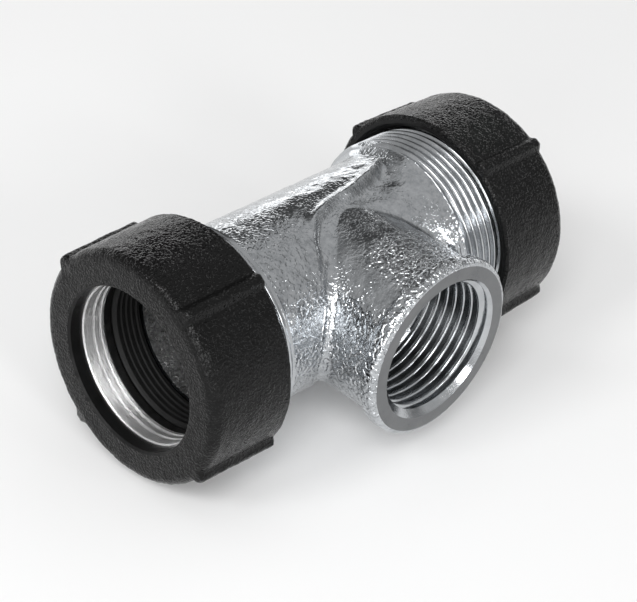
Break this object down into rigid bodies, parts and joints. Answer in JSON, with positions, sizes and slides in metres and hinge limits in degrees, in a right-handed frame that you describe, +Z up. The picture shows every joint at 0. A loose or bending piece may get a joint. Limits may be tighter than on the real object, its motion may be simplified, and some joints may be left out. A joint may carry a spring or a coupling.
{
  "type": "compression tee fitting",
  "caption": "Cast metal compression tee: a straight run with a screwed black nut, grip ring and rubber seal at each end for plain pipe, and a side branch with an inside thread.",
  "frame": {"origin": "where the axis of the branch crosses the axis of the run", "axes": "X along the run, from the left nut to the right nut; -Y out of the branch mouth; +Z up"},
  "size_m": [0.1121, 0.0634, 0.0544],
  "materials": {
    "galvanised_casting": "hot-dip zinc over a rough casting, satin where it is machined",
    "black_casting": "black coat over a rough casting",
    "grip_steel": "bright turned steel",
    "dark_steel": "dark turned steel",
    "seal_rubber": "matte black rubber"
  },
  "bodies": {
    "fitting": {"tee_body": "galvanised_casting", "left_seal": "seal_rubber", "right_seal": "seal_rubber"},
    "left_rings": {"left_grip_ring": "grip_steel", "left_pressure_ring": "dark_steel"},
    "left_clamp_nut": {"left_nut": "black_casting"},
    "right_rings": {"right_grip_ring": "grip_steel", "right_pressure_ring": "dark_steel"},
    "right_clamp_nut": {"right_nut": "black_casting"}
  },
  "joints": [
    {"name": "left_ring_slide", "type": "slide", "parent": "fitting", "child": "left_rings", "axis": [-1, 0, 0], "range_m": [0, 0.005]},
    {"name": "left_nut_turn", "type": "hinge", "parent": "left_rings", "child": "left_clamp_nut", "pos_m": [-0.0468, 0, 0], "axis": [-1, 0, 0], "range_deg": [0, 900]},
    {"name": "right_ring_slide", "type": "slide", "parent": "fitting", "child": "right_rings", "axis": [1, 0, 0], "range_m": [0, 0.005]},
    {"name": "right_nut_turn", "type": "hinge", "parent": "right_rings", "child": "right_clamp_nut", "pos_m": [0.0432, 0, 0], "axis": [1, 0, 0], "range_deg": [0, 900]}
  ],
  "couplings": [
    {"joint": "left_ring_slide", "follows": "left_nut_turn", "m_per_rad": 0.0003183},
    {"joint": "right_ring_slide", "follows": "right_nut_turn", "m_per_rad": 0.0003183}
  ]
}
